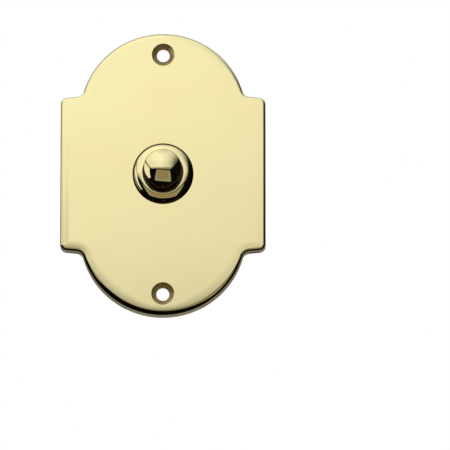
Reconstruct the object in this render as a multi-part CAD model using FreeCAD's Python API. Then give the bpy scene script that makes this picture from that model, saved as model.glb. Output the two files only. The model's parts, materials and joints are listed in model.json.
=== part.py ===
"""Brass doorbell push button with an arched and shouldered face plate, modelled in millimetres.

X runs to the visitor's right, Z runs up and Y runs back into the wall. The origin is the middle of
the plate on the wall face. Heights named "out" are measured from that face towards the visitor, so
out is minus Y, and everything behind the wall face has a negative one.
"""
import FreeCAD
import Part
import math
import os

V = FreeCAD.Vector

# Face plate: an arch above and below two straight sides, joined by sloping shoulders
plate_width = 60.0
plate_height = 84.0
plate_depth = 4.5
plate_wall = 2.2
rim_width = 2.2
arch_step = 5.7
shoulder_drop = 19.4
shoulder_slope = 5.5
corner_radius = 1.9
notch_radius = 2.2
edge_radius = 1.7
pocket_corner_radius = 0.8
pocket_floor_radius = 0.6

# Countersunk holes for the two wall screws
screw_end_distance = 6.5
screw_hole_diameter = 3.8
countersink_diameter = 6.6
countersink_angle = 90.0

# Push knob and its travel
knob_diameter = 11.1
knob_dome_height = 2.4
knob_edge_radius = 0.7
knob_stand = 6.5
knob_flange_thickness = 1.2
stroke = 1.5

# Clearances of the parts that slide
knob_gap = 0.3
flange_clearance = 0.25
stop_overlap = 0.3
stop_clearance = 0.05
nose_clearance = 0.3
seat_slack = 0.03
thread_slack = 0.05

# Collar: a turned bush, rounded like a half ring, whose threaded shank passes through the plate
collar_lip_depth = 1.8
collar_rim_width = 0.45
collar_mouth_radius = 0.2
collar_foot_height = 0.38
collar_seat_width = 1.42
shank_wall = 1.1
shank_tail = 0.5
shank_chamfer = 0.3
plate_hole_clearance = 0.15

# Toothed washer and round slotted nut behind the plate
lock_washer_thickness = 0.6
lock_washer_width = 1.8
lock_washer_teeth = 12
lock_washer_notch = 1.2
collar_nut_thickness = 2.4
collar_nut_width = 2.2
collar_nut_slots = 4
collar_nut_slot_width = 2.4
collar_nut_slot_depth = 1.1
collar_nut_chamfer = 0.3

# Insulating pusher, pressed into the knob's back
pusher_stem_diameter = 5.2
pusher_stem_length = 2.8
pusher_head_diameter = 7.0
pusher_head_thickness = 1.0
pusher_nose_diameter = 3.6
pusher_nose_radius = 0.8

# Return spring round the pusher
spring_wire = 0.6
spring_turns = 3.5
spring_wall_clearance = 1.1
spring_post_clearance = 0.4

# Moulded terminal base
base_gap = 0.8
base_spigot_entry = 0.8
base_spigot_clearance = 0.2
base_post_height = 1.4
base_floor = 3.2
base_edge_wall = 1.8
base_back_cover = 0.6
base_edge_radius = 0.8
channel_side = 1.5

# Rear bosses and the screws that hold the base to them
boss_diameter = 6.0
boss_nut_clearance = 0.3
boss_hole_runout = 0.6
screw_engagement = 3.4
base_grip = 3.6
recess_clearance = 0.4

# Screws, washers and nuts of the base and terminals
thread_diameter = 3.0
screw_head_diameter = 5.5
screw_head_height = 2.0
screw_head_radius = 0.7
screw_slot_width = 0.8
screw_slot_depth = 0.9
screw_slot_angle = 35.0
screw_tip_chamfer = 0.3
washer_diameter = 6.0
washer_thickness = 0.5
hole_clearance = 0.2
hex_nut_width = 5.5
hex_nut_thickness = 1.9
hex_nut_clearance = 0.1
hex_nut_chamfer_width = 0.3
hex_nut_chamfer_height = 0.15
terminal_edge_distance = 7.2

# Contact strips in the channel at the base's back
strip_width = 5.0
strip_tail = 3.0
leaf_thickness = 0.3
leaf_root_clearance = 0.4
leaf_set = 0.6
leaf_end = 4.4
fixed_thickness = 0.4
fixed_riser_clearance = 0.8
fixed_end = 1.4
contact_place = 3.0
contact_diameter = 2.2
contact_thickness = 0.5
contact_edge_radius = 0.3
contact_clearance = 0.15

# The outline's arches, shoulders and screw holes follow from the plate's sides and ends
arch_radius = plate_width / 2 - arch_step
arch_centre = plate_height / 2 - arch_radius
shoulder_height = plate_height / 2 - shoulder_drop
screw_pitch = plate_height - 2 * screw_end_distance

# Radii that follow from the knob outwards
knob_radius = knob_diameter / 2
mouth_radius = knob_radius + knob_gap
flange_radius = mouth_radius + stop_overlap
bore_radius = flange_radius + flange_clearance
shank_radius = bore_radius + shank_wall
collar_radius = shank_radius + collar_seat_width
collar_edge_radius = collar_radius - mouth_radius - collar_rim_width
nut_radius = shank_radius + collar_nut_width
boss_x = nut_radius + boss_nut_clearance + boss_diameter / 2
recess_radius = washer_diameter / 2 + recess_clearance
base_radius = boss_x + recess_radius + base_edge_wall
terminal_pitch = 2 * (base_radius - terminal_edge_distance)
spring_radius = bore_radius - spring_wall_clearance - spring_wire / 2
post_radius = spring_radius - spring_wire / 2 - spring_post_clearance
guide_radius = pusher_nose_diameter / 2 + nose_clearance
spigot_radius = bore_radius - base_spigot_clearance

# Levels that follow from the wall face, towards the visitor and then back
face_out = plate_depth
pocket_out = plate_depth - plate_wall
collar_rim_out = face_out + collar_foot_height + collar_edge_radius
stop_out = collar_rim_out - collar_lip_depth
flange_front_out = stop_out - stop_clearance
flange_back_out = flange_front_out - knob_flange_thickness
dome_foot_out = collar_rim_out + knob_stand
washer_back_out = pocket_out - lock_washer_thickness
nut_back_out = washer_back_out - collar_nut_thickness
shank_end_out = nut_back_out - shank_tail
base_front_out = shank_end_out - base_gap
spring_seat_out = shank_end_out + base_spigot_entry
channel_floor_out = base_front_out - base_floor

# The leaf bends about its root, and its contact stands back of the nose that pushes it
leaf_root = terminal_pitch / 2 - washer_diameter / 2 - leaf_root_clearance
leaf_slope = leaf_set / leaf_root
leaf_angle = math.degrees(math.atan(leaf_slope))
nose_tip_out = channel_floor_out - leaf_set + leaf_slope * pusher_nose_diameter / 2 + stop_clearance
contact_lever = (leaf_root + contact_place) / leaf_root
contact_rest_out = channel_floor_out - leaf_set * contact_lever
contact_rest_back = contact_rest_out - leaf_thickness - contact_thickness
fixed_contact_front = contact_rest_back - stroke - contact_clearance
fixed_riser = terminal_pitch / 2 - washer_diameter / 2 - fixed_thickness - fixed_riser_clearance
fixed_front_out = fixed_contact_front - contact_thickness
base_back_out = fixed_front_out - fixed_thickness - base_back_cover


def at(x, out, z):
    """Point at a height in front of the wall face."""
    return V(x, -out, z)


def rod(x, z, radius, out_from, out_to):
    """Round bar square to the wall, between two heights."""
    low = min(out_from, out_to)
    high = max(out_from, out_to)
    return Part.makeCylinder(radius, high - low, at(x, high, z), V(0, 1, 0))


def block(x_size, z_size, out_from, out_to, x=0.0, z=0.0):
    """Rectangular block centred on x and z, between two heights."""
    low = min(out_from, out_to)
    high = max(out_from, out_to)
    return Part.makeBox(x_size, high - low, z_size, at(x - x_size / 2, high, z - z_size / 2))


def rounded_edges(corners):
    """Edges through closed corners (u, v, radius), where a radius above zero rounds its corner."""
    ends = []
    count = len(corners)
    for i in range(count):
        before = V(corners[i - 1][0], corners[i - 1][1], 0)
        here = V(corners[i][0], corners[i][1], 0)
        after = V(corners[(i + 1) % count][0], corners[(i + 1) % count][1], 0)
        radius = corners[i][2]
        if radius <= 0:
            ends.append((here, here, here))
            continue
        back = (before - here).normalize()
        ahead = (after - here).normalize()
        half = back.getAngle(ahead) / 2
        reach = radius / math.tan(half)
        centre = here + (back + ahead).normalize() * (radius / math.sin(half))
        middle = centre + (here - centre).normalize() * radius
        ends.append((here + back * reach, middle, here + ahead * reach))
    edges = []
    for i in range(count):
        start, middle, finish = ends[i]
        if (finish - start).Length > 1e-6:
            edges.append(Part.Arc(start, middle, finish).toShape())
        following = ends[(i + 1) % count][0]
        if (following - finish).Length > 1e-6:
            edges.append(Part.LineSegment(finish, following).toShape())
    return edges


def turned(corners, x=0.0, z=0.0):
    """Solid turned about an axis square to the wall, from a section of (radius, out, rounding)."""
    section = [(radius, -out, rounding) for radius, out, rounding in corners]
    face = Part.Face(Part.Wire(rounded_edges(section)))
    solid = face.revolve(V(0, 0, 0), V(0, 1, 0), 360)
    solid.translate(V(x, 0, z))
    return solid


def folded_strip(path, thickness, width):
    """Strip bent to a path of (z, out) along its front face, with its thickness behind that face."""
    outer = [V(0, -out, z) for z, out in path]
    back = []
    for i in range(len(path)):
        legs = []
        if i > 0:
            legs.append((outer[i] - outer[i - 1]).normalize())
        if i < len(path) - 1:
            legs.append((outer[i + 1] - outer[i]).normalize())
        normals = [V(0, leg.z, -leg.y) for leg in legs]
        total = normals[0] if len(normals) == 1 else normals[0] + normals[1]
        total.normalize()
        back.append(outer[i] + total * (thickness / total.dot(normals[0])))
    outline = outer + back[::-1] + [outer[0]]
    face = Part.Face(Part.makePolygon(outline))
    face.translate(V(-width / 2, 0, 0))
    return face.extrude(V(width, 0, 0))


def hexagon(width, out_from, out_to, z):
    """Hexagonal prism square to the wall, by its width across flats."""
    reach = width / math.sqrt(3)
    turns = [math.radians(60 * i + 30) for i in range(7)]
    points = [at(reach * math.sin(a), out_from, z + reach * math.cos(a)) for a in turns]
    return Part.Face(Part.makePolygon(points)).extrude(V(0, out_from - out_to, 0))


def outline_prism(inset, out_from, out_to, outer_rounding, inner_rounding):
    """Prism of the plate's outline, moved inwards by an inset."""
    slope = math.radians(shoulder_slope)
    half_width = plate_width / 2 - inset
    radius = arch_radius - inset
    level = plate_width / 2 * math.sin(slope) + shoulder_height * math.cos(slope) - inset
    side_z = (level - half_width * math.sin(slope)) / math.cos(slope)
    drop = level - arch_centre * math.cos(slope)
    chord = math.sqrt(radius**2 - drop**2)
    notch_x = drop * math.sin(slope) + chord * math.cos(slope)
    notch_z = arch_centre + drop * math.cos(slope) - chord * math.sin(slope)

    def point(x, z):
        return at(x, out_from, z)

    edges = []
    for up in (1, -1):
        right = up
        left = -up
        side = point(right * half_width, up * side_z)
        notch = point(right * notch_x, up * notch_z)
        far_notch = point(left * notch_x, up * notch_z)
        far_side = point(left * half_width, up * side_z)
        top = point(0, up * (arch_centre + radius))
        edges.append(Part.LineSegment(side, notch).toShape())
        edges.append(Part.Arc(notch, top, far_notch).toShape())
        edges.append(Part.LineSegment(far_notch, far_side).toShape())
        edges.append(Part.LineSegment(far_side, point(left * half_width, -up * side_z)).toShape())
    prism = Part.Face(Part.Wire(edges)).extrude(V(0, out_from - out_to, 0))
    for x, rounding in ((half_width, outer_rounding), (notch_x, inner_rounding)):
        upright = [e for e in prism.Edges if runs_back(e) and abs(abs(e.CenterOfMass.x) - x) < 0.01]
        prism = prism.makeFillet(rounding, upright)
    return prism


def runs_back(edge):
    """True for an edge that runs straight back towards the wall."""
    first, last = edge.Vertexes[0].Point, edge.Vertexes[-1].Point
    across = math.hypot(first.x - last.x, first.z - last.z)
    return across < 1e-6 < abs(first.y - last.y)


def edges_at(shape, out):
    """Edges that lie flat at one height."""
    return [e for e in shape.Edges if all(abs(v.Point.y + out) < 1e-6 for v in e.Vertexes)]


def make_face_plate():
    """Cast plate with a rounded front edge, a hollow back, countersunk holes and two tapped bosses."""
    plate = outline_prism(0, 0, face_out, corner_radius, notch_radius)
    plate = plate.makeFillet(edge_radius, edges_at(plate, face_out))
    pocket = outline_prism(
        rim_width, 0, pocket_out, pocket_corner_radius, notch_radius + rim_width
    )
    pocket = pocket.makeFillet(pocket_floor_radius, edges_at(pocket, pocket_out))
    plate = plate.cut(pocket)
    hole_radius = screw_hole_diameter / 2
    sink_radius = countersink_diameter / 2
    sink_depth = (sink_radius - hole_radius) / math.tan(math.radians(countersink_angle / 2))
    for z in (screw_pitch / 2, -screw_pitch / 2):
        plate = plate.cut(rod(0, z, hole_radius, 0, face_out))
        sink = Part.makeCone(sink_radius, hole_radius, sink_depth, at(0, face_out, z), V(0, 1, 0))
        plate = plate.cut(sink)
    tapped_out = base_front_out + screw_engagement + boss_hole_runout
    for x in (boss_x, -boss_x):
        plate = plate.fuse(rod(x, 0, boss_diameter / 2, base_front_out, pocket_out + plate_wall / 2))
        plate = plate.cut(rod(x, 0, thread_diameter / 2, base_front_out, tapped_out))
    centre_hole = shank_radius + plate_hole_clearance
    plate = plate.cut(rod(0, 0, centre_hole, base_front_out, face_out))
    return plate.removeSplitter()


def make_collar():
    """Turned bush: a low collar rounded outwards in front and a bored, threaded shank behind."""
    return turned(
        [
            (mouth_radius, collar_rim_out, collar_mouth_radius),
            (collar_radius, collar_rim_out, collar_edge_radius),
            (collar_radius, face_out, 0),
            (shank_radius, face_out, 0),
            (shank_radius, shank_end_out + shank_chamfer, 0),
            (shank_radius - shank_chamfer, shank_end_out, 0),
            (bore_radius, shank_end_out, 0),
            (bore_radius, stop_out, 0),
            (mouth_radius, stop_out, 0),
        ]
    )


def make_lock_washer():
    """Thin washer with notches cut into its outer edge to leave teeth."""
    inner = shank_radius + thread_slack
    outer = inner + lock_washer_width
    washer = rod(0, 0, outer, pocket_out, washer_back_out)
    washer = washer.cut(rod(0, 0, inner, pocket_out, washer_back_out))
    notch = block(lock_washer_notch, lock_washer_width, pocket_out, washer_back_out, z=outer)
    for i in range(lock_washer_teeth):
        one = notch.copy()
        one.rotate(V(0, 0, 0), V(0, 1, 0), 360 * i / lock_washer_teeth)
        washer = washer.cut(one)
    return washer


def make_collar_nut():
    """Round nut with slots across its rim for a peg spanner."""
    inner = shank_radius + thread_slack
    chamfer = collar_nut_chamfer
    nut = turned(
        [
            (inner, washer_back_out, 0),
            (nut_radius - chamfer, washer_back_out, 0),
            (nut_radius, washer_back_out - chamfer, 0),
            (nut_radius, nut_back_out + chamfer, 0),
            (nut_radius - chamfer, nut_back_out, 0),
            (inner, nut_back_out, 0),
        ]
    )
    slot = block(
        collar_nut_slot_width,
        2 * collar_nut_slot_depth,
        washer_back_out,
        nut_back_out,
        z=nut_radius,
    )
    for i in range(collar_nut_slots):
        one = slot.copy()
        one.rotate(V(0, 0, 0), V(0, 1, 0), 360 * (i + 0.5) / collar_nut_slots)
        nut = nut.cut(one)
    return nut


def make_dome():
    """Front of the knob: a shallow cap of a ball, turned from its arc."""
    ball = (knob_radius**2 + knob_dome_height**2) / (2 * knob_dome_height)
    half = math.asin(knob_radius / ball) / 2
    middle = V(ball * math.sin(half), ball * (1 - math.cos(half)) - knob_dome_height, 0)
    apex = V(0, -knob_dome_height, 0)
    arc = Part.Arc(V(knob_radius, 0, 0), middle, apex).toShape()
    axis = Part.LineSegment(apex, V(0, 0, 0)).toShape()
    foot = Part.LineSegment(V(0, 0, 0), V(knob_radius, 0, 0)).toShape()
    dome = Part.Face(Part.Wire([arc, axis, foot])).revolve(V(0, 0, 0), V(0, 1, 0), 360)
    dome.translate(at(0, dome_foot_out, 0))
    return dome


def make_push_knob():
    """Capped knob with a flange behind that stops it inside the collar, and a bore for the pusher."""
    knob = rod(0, 0, knob_radius, dome_foot_out, flange_back_out)
    knob = knob.fuse(make_dome()).removeSplitter()
    knob = knob.makeFillet(knob_edge_radius, edges_at(knob, dome_foot_out))
    knob = knob.fuse(rod(0, 0, flange_radius, flange_front_out, flange_back_out))
    bore_end = flange_back_out + pusher_stem_length + stop_clearance
    bore = rod(0, 0, pusher_stem_diameter / 2 + seat_slack, flange_back_out, bore_end)
    return knob.cut(bore).removeSplitter()


def make_pusher():
    """Insulating pin: a stem in the knob, a head against its flange and a nose that reaches the leaf."""
    head_back = flange_back_out - pusher_head_thickness
    return turned(
        [
            (0, flange_back_out + pusher_stem_length, 0),
            (pusher_stem_diameter / 2, flange_back_out + pusher_stem_length, 0),
            (pusher_stem_diameter / 2, flange_back_out, 0),
            (pusher_head_diameter / 2, flange_back_out, 0),
            (pusher_head_diameter / 2, head_back, 0),
            (pusher_nose_diameter / 2, head_back, 0),
            (pusher_nose_diameter / 2, nose_tip_out, pusher_nose_radius),
            (0, nose_tip_out, 0),
        ]
    )


def make_return_spring():
    """Coil spring between the base and the knob's flange, with its ends ground flat."""
    length = flange_back_out - spring_seat_out
    path = Part.makeHelix(length / spring_turns, length, spring_radius)
    section = Part.Wire(Part.makeCircle(spring_wire / 2, V(spring_radius, 0, 0), V(0, 1, 0)))
    coil = Part.Wire(path.Edges).makePipeShell([section], True, True)
    coil = coil.common(Part.makeCylinder(bore_radius, length))
    coil.rotate(V(0, 0, 0), V(1, 0, 0), 90)
    coil.translate(at(0, spring_seat_out, 0))
    return coil


def make_terminal_base():
    """Moulded disc with a spigot for the collar, a post for the spring and a channel for the contacts."""
    base = turned(
        [
            (0, spring_seat_out, 0),
            (spigot_radius, spring_seat_out, 0),
            (spigot_radius, base_front_out, 0),
            (base_radius, base_front_out, 0),
            (base_radius, base_back_out, base_edge_radius),
            (0, base_back_out, 0),
        ]
    )
    base = base.fuse(rod(0, 0, post_radius, spring_seat_out, spring_seat_out + base_post_height))
    base = base.removeSplitter()
    channel_width = strip_width + 2 * channel_side
    base = base.cut(block(channel_width, 2 * base_radius, channel_floor_out, base_back_out))
    base = base.cut(rod(0, 0, guide_radius, spring_seat_out + base_post_height, base_back_out))
    for x in (boss_x, -boss_x):
        base = base.cut(rod(x, 0, thread_diameter / 2 + hole_clearance, base_front_out, base_back_out))
        base = base.cut(rod(x, 0, recess_radius, base_front_out - base_grip, base_back_out))
    nut_seat_out = base_front_out - hex_nut_thickness - hex_nut_clearance
    for z in (terminal_pitch / 2, -terminal_pitch / 2):
        base = base.cut(rod(0, z, thread_diameter / 2 + hole_clearance, base_front_out, base_back_out))
        hex_width = hex_nut_width + 2 * hex_nut_clearance
        base = base.cut(hexagon(hex_width, base_front_out, nut_seat_out, z))
    return base


def make_screw(x, z, seat_out, tip_out):
    """Slotted pan-head screw driven from behind, with its head against the given seat."""
    back = seat_out - screw_head_height
    radius = thread_diameter / 2 - thread_slack
    screw = turned(
        [
            (0, tip_out, 0),
            (radius - screw_tip_chamfer, tip_out, 0),
            (radius, tip_out - screw_tip_chamfer, 0),
            (radius, seat_out, 0),
            (screw_head_diameter / 2, seat_out, 0),
            (screw_head_diameter / 2, back, screw_head_radius),
            (0, back, 0),
        ],
        x,
        z,
    )
    slot = block(screw_head_diameter, screw_slot_width, back, back + screw_slot_depth, x, z)
    slot.rotate(at(x, 0, z), V(0, 1, 0), screw_slot_angle)
    return screw.cut(slot)


def make_washer(x, z, front_out):
    """Flat washer whose front face is at the given height."""
    back = front_out - washer_thickness
    washer = rod(x, z, washer_diameter / 2, front_out, back)
    return washer.cut(rod(x, z, thread_diameter / 2 + hole_clearance, front_out, back))


def make_hex_nut(z):
    """Hexagonal nut held in its pocket at the base's front, with chamfered corners."""
    front = base_front_out - hex_nut_clearance
    back = front - hex_nut_thickness
    corner = hex_nut_width / math.sqrt(3)
    cone = turned(
        [
            (0, front, 0),
            (corner - hex_nut_chamfer_width, front, 0),
            (corner, front - hex_nut_chamfer_height, 0),
            (corner, back + hex_nut_chamfer_height, 0),
            (corner - hex_nut_chamfer_width, back, 0),
            (0, back, 0),
        ],
        0,
        z,
    )
    nut = hexagon(hex_nut_width, front, back, z).common(cone)
    return nut.cut(rod(0, z, thread_diameter / 2, front, back))


def terminal_hole(z):
    """Clearance hole that a terminal screw needs through a strip."""
    return rod(0, z, thread_diameter / 2 + hole_clearance, base_front_out, base_back_out)


def make_moving_contact():
    """Springy leaf, clamped flat at its terminal and sloping back under the pusher's nose."""
    foot = -terminal_pitch / 2
    end_out = channel_floor_out - leaf_slope * (leaf_root + leaf_end)
    path = [
        (foot - strip_tail, channel_floor_out),
        (-leaf_root, channel_floor_out),
        (leaf_end, end_out),
    ]
    return folded_strip(path, leaf_thickness, strip_width).cut(terminal_hole(foot))


def make_fixed_contact():
    """Stiff strip, clamped at its terminal and stepped back over the end of the leaf."""
    foot = terminal_pitch / 2
    path = [
        (fixed_end, fixed_front_out),
        (fixed_riser, fixed_front_out),
        (fixed_riser, channel_floor_out),
        (foot + strip_tail, channel_floor_out),
    ]
    return folded_strip(path, fixed_thickness, strip_width).cut(terminal_hole(foot))


def make_contact_tip(front, back, rounded_at):
    """Silver contact with the edge of its working face rounded."""
    tip = rod(0, contact_place, contact_diameter / 2, front, back)
    return tip.makeFillet(contact_edge_radius, edges_at(tip, rounded_at))


def make_moving_contact_tip():
    """Contact riveted to the back of the leaf, square to its slope."""
    front = contact_rest_out - leaf_thickness
    back = front - contact_thickness
    tip = make_contact_tip(front, back, back)
    tip.rotate(at(0, contact_rest_out, contact_place), V(1, 0, 0), -leaf_angle)
    return tip


def make_parts():
    """Every separate piece by its node name."""
    pieces = {
        "face_plate": make_face_plate(),
        "collar": make_collar(),
        "collar_lock_washer": make_lock_washer(),
        "collar_nut": make_collar_nut(),
        "push_knob": make_push_knob(),
        "pusher": make_pusher(),
        "return_spring": make_return_spring(),
        "terminal_base": make_terminal_base(),
        "moving_contact": make_moving_contact(),
        "fixed_contact": make_fixed_contact(),
        "moving_contact_tip": make_moving_contact_tip(),
        "fixed_contact_tip": make_contact_tip(
            fixed_contact_front, fixed_front_out, fixed_contact_front
        ),
    }
    grip_out = base_front_out - base_grip
    for side, x in (("left", -boss_x), ("right", boss_x)):
        pieces["base_washer_" + side] = make_washer(x, 0, grip_out)
        pieces["base_screw_" + side] = make_screw(
            x, 0, grip_out - washer_thickness, base_front_out + screw_engagement
        )
    strips = (
        ("upper", terminal_pitch / 2, fixed_thickness),
        ("lower", -terminal_pitch / 2, leaf_thickness),
    )
    for end, z, thickness in strips:
        strip_back = channel_floor_out - thickness
        pieces["terminal_washer_" + end] = make_washer(0, z, strip_back)
        pieces["terminal_screw_" + end] = make_screw(
            0, z, strip_back - washer_thickness, base_front_out
        )
        pieces["terminal_nut_" + end] = make_hex_nut(z)
    return pieces


os.makedirs("parts", exist_ok=True)
for node, shape in make_parts().items():
    shape.exportStep("parts/" + node + ".step")
    print(node, len(shape.Solids), round(shape.Volume, 2), shape.isValid())
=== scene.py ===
# %% [markdown]
# # A brass doorbell push button
#
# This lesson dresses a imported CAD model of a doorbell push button: an arched and shouldered brass
# plate, a turned collar in its middle, a domed knob and the switch behind them. The CAD model is
# loaded first and stays fixed, so that every new piece is made in its frame: X to the visitor's
# right, Z up, and the front facing -Y. Blender works in metres.

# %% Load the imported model
import json
import math

import bmesh
import bpy
from mathutils import Matrix, Vector


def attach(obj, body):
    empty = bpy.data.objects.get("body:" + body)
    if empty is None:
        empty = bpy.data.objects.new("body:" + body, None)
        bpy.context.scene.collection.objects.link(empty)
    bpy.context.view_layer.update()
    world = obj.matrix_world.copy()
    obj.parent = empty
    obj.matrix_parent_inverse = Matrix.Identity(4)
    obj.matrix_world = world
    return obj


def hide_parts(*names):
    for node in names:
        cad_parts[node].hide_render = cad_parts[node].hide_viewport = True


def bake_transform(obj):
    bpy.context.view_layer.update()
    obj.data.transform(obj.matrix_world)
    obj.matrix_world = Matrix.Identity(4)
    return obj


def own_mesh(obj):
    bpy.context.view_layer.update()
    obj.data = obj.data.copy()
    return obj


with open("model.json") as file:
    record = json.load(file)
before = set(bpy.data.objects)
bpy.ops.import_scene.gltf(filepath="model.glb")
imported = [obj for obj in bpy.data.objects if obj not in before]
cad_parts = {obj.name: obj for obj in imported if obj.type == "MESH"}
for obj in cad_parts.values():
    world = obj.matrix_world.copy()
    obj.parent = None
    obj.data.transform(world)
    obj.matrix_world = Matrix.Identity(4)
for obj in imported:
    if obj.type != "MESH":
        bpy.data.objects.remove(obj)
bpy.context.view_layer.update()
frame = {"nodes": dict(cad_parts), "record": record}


# %% [markdown]
# Heights are easier to read as millimetres "out" from the wall towards the visitor, as in the CAD
# source. This helper turns such a place into Blender's metres. The second one goes back to object
# mode with nothing selected, because an operator acts on everything that is selected.

# %% Small helpers
MM = 0.001


def place(x, out, z):
    """Point in metres, from millimetres across, out from the wall face and up."""
    return Vector((x * MM, -out * MM, z * MM))


def start_clean():
    """Object mode with nothing selected."""
    if bpy.context.object and bpy.context.object.mode != "OBJECT":
        bpy.ops.object.mode_set(mode="OBJECT")
    bpy.ops.object.select_all(action="DESELECT")


# %% [markdown]
# ## Camera
#
# The button is seen square on from about eleven degrees below, with a long lens that keeps the
# plate's sides almost parallel. The camera stands a little to the right, because the plate isn't
# in the middle of the picture.

# %% Add the camera
CAMERA_PLACE = (0.01812, -1.47488, -0.27335)
CAMERA_PITCH = 9.957
CAMERA_LENS = 409.3

start_clean()
bpy.ops.object.camera_add(
    location=CAMERA_PLACE, rotation=(math.radians(90 + CAMERA_PITCH), 0, 0)
)
camera = bpy.context.object
camera.data.lens = CAMERA_LENS
camera.data.clip_start = 0.01
bpy.context.scene.camera = camera
bpy.context.scene.view_settings.view_transform = "Standard"
print("camera", camera.data.lens, "mm")


# %% [markdown]
# ## Studio
#
# Polished brass has no colour of its own until it reflects something, so the surroundings matter
# more than the lamps. The button hangs in a white tent that ends in front below eye level and
# leaves a dark opening to the right, with a brown table under it. All of that is drawn in the
# world, by the direction in which a ray leaves: a plane through the middle splits the directions
# in two, and a few such planes make the tent's edges.

# %% Helpers for the world's nodes
world = bpy.data.worlds.new("Studio")
bpy.context.scene.world = world
world.use_nodes = True
sky = world.node_tree
sky.nodes.clear()
ray = sky.nodes.new("ShaderNodeTexCoord").outputs["Generated"]


def sky_math(operation, first, second, clamp=False):
    """Math node in the world between two sockets or numbers."""
    node = sky.nodes.new("ShaderNodeMath")
    node.operation = operation
    node.use_clamp = clamp
    for socket, value in zip(node.inputs, (first, second)):
        if isinstance(value, (int, float)):
            socket.default_value = value
        else:
            sky.links.new(value, socket)
    return node.outputs[0]


def sky_side(normal, offset=0.0, softness=0.02):
    """Mask of the directions on one side of a plane, with a soft edge."""
    dot = sky.nodes.new("ShaderNodeVectorMath")
    dot.operation = "DOT_PRODUCT"
    dot.inputs[1].default_value = normal
    sky.links.new(ray, dot.inputs[0])
    step = sky.nodes.new("ShaderNodeMapRange")
    step.interpolation_type = "SMOOTHSTEP"
    step.inputs["From Min"].default_value = offset - softness
    step.inputs["From Max"].default_value = offset + softness
    sky.links.new(dot.outputs["Value"], step.inputs["Value"])
    return step.outputs["Result"]


def sky_ramp(axis, stops):
    """Colour ramp over one axis of the direction, from (place, grey) stops between -1 and 1."""
    split = sky.nodes.new("ShaderNodeSeparateXYZ")
    sky.links.new(ray, split.inputs[0])
    ramp = sky.nodes.new("ShaderNodeValToRGB")
    for index, (spot, grey) in enumerate(stops):
        if index < 2:
            element = ramp.color_ramp.elements[index]
            element.position = (spot + 1) / 2
        else:
            element = ramp.color_ramp.elements.new((spot + 1) / 2)
        element.color = (grey, grey, grey, 1)
    place_of = sky.nodes.new("ShaderNodeMapRange")
    place_of.inputs["From Min"].default_value = -1
    sky.links.new(split.outputs[axis], place_of.inputs["Value"])
    sky.links.new(place_of.outputs["Result"], ramp.inputs["Fac"])
    return ramp.outputs["Color"]


def sky_mix(mask, below, above, blend="MIX"):
    """Mix of two colours by a mask."""
    mix = sky.nodes.new("ShaderNodeMix")
    mix.data_type = "RGBA"
    mix.blend_type = blend
    for name, value in (("Factor", mask), ("A", below), ("B", above)):
        socket = [s for s in mix.inputs if s.name == name and s.type in ("RGBA", "VALUE")]
        socket = socket[0] if name == "Factor" else [s for s in socket if s.type == "RGBA"][0]
        if isinstance(value, (int, float, tuple)):
            socket.default_value = value
        else:
            sky.links.new(value, socket)
    return [s for s in mix.outputs if s.type == "RGBA"][0]


# %% [markdown]
# The plate's flat face mirrors only a small patch of the tent, between heights 0.155 and 0.209 of
# the ray's direction, and the stops there give the face its slow change from foot to top. The soft
# lower edge tilts down and mirrors the stops below them, and the domed knob mirrors all the rest.

# %% Shade the tent
tent = sky_ramp(
    "Z",
    [
        (0.0, 0.3),
        (0.035, 0.36),
        (0.07, 0.44),
        (0.09, 0.52),
        (0.11, 0.6),
        (0.13, 0.68),
        (0.145, 0.72),
        (0.155, 0.745),
        (0.161, 0.79),
        (0.168, 0.86),
        (0.1725, 0.887),
        (0.179, 0.895),
        (0.192, 0.95),
        (0.201, 0.985),
        (0.34, 0.95),
        (0.49, 0.965),
        (0.63, 1.04),
        (0.93, 1.04),
        (0.995, 0.84),
    ],
)
fall = sky_ramp(
    "X",
    [
        (-1, 1.0),
        (-0.75, 0.93),
        (-0.6, 0.96),
        (-0.4, 1.02),
        (-0.04, 1.03),
        (-0.012, 1.0),
        (0.008, 0.95),
        (0.15, 0.92),
        (0.36, 0.81),
        (0.51, 0.67),
        (0.58, 0.54),
        (0.65, 0.41),
        (0.74, 0.2),
        (0.85, 0.1),
    ],
)
tent_light = sky_mix(1.0, tent, fall, "MULTIPLY")
print("tent shaded")

# %% [markdown]
# The edges of the tent, of a white card at the left, of the table and of the dark cloth on it are
# planes. Their places were found from the shapes that the knob's dome shows.

# %% Cut out the tent, the card and the table
def sky_all(*masks):
    """Product of several masks."""
    product = masks[0]
    for mask in masks[1:]:
        product = sky_math("MULTIPLY", product, mask)
    return product


in_front = sky_side((0, -0.93, 0.37), 0.03, 0.04)
in_tent = sky_all(
    in_front,
    sky_side((0.07, 0, 1), 0.0, 0.015),
    sky_side((-0.571, -0.408, 0.713), 0, 0.05),
    sky_side((0.459, -0.473, 0.752), 0, 0.012),
)
on_card = sky_all(
    in_front,
    sky_side((-0.459, 0.473, -0.752), 0.072, 0.012),
    sky_side((-0.497, 0.857, 0.14), 0, 0.02),
    sky_side((0, 0, 1), -0.49, 0.02),
)
on_table = sky_all(
    sky_side((0.843, -0.381, -0.379), 0, 0.02),
    sky_side((-0.819, -0.457, -0.348), 0, 0.02),
    sky_side((0.085, -0.429, 0.899), -0.507, 0.02),
    sky_side((-0.07, 0, -1), 0.08, 0.02),
)
on_cloth = sky_all(
    sky_side((0.93, -0.309, -0.201), 0, 0.03),
    sky_side((-0.907, -0.39, -0.159), 0, 0.03),
    sky_side((0.085, -0.429, 0.899), -0.36, 0.03),
)
behind = sky_side((0, 1, 0), 0.2, 0.06)
back_wall = sky_ramp(
    "Z", [(-1, 0.22), (-0.1, 0.22), (0.05, 0.12), (0.2, 0.12), (0.5, 0.32), (1, 0.32)]
)

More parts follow.
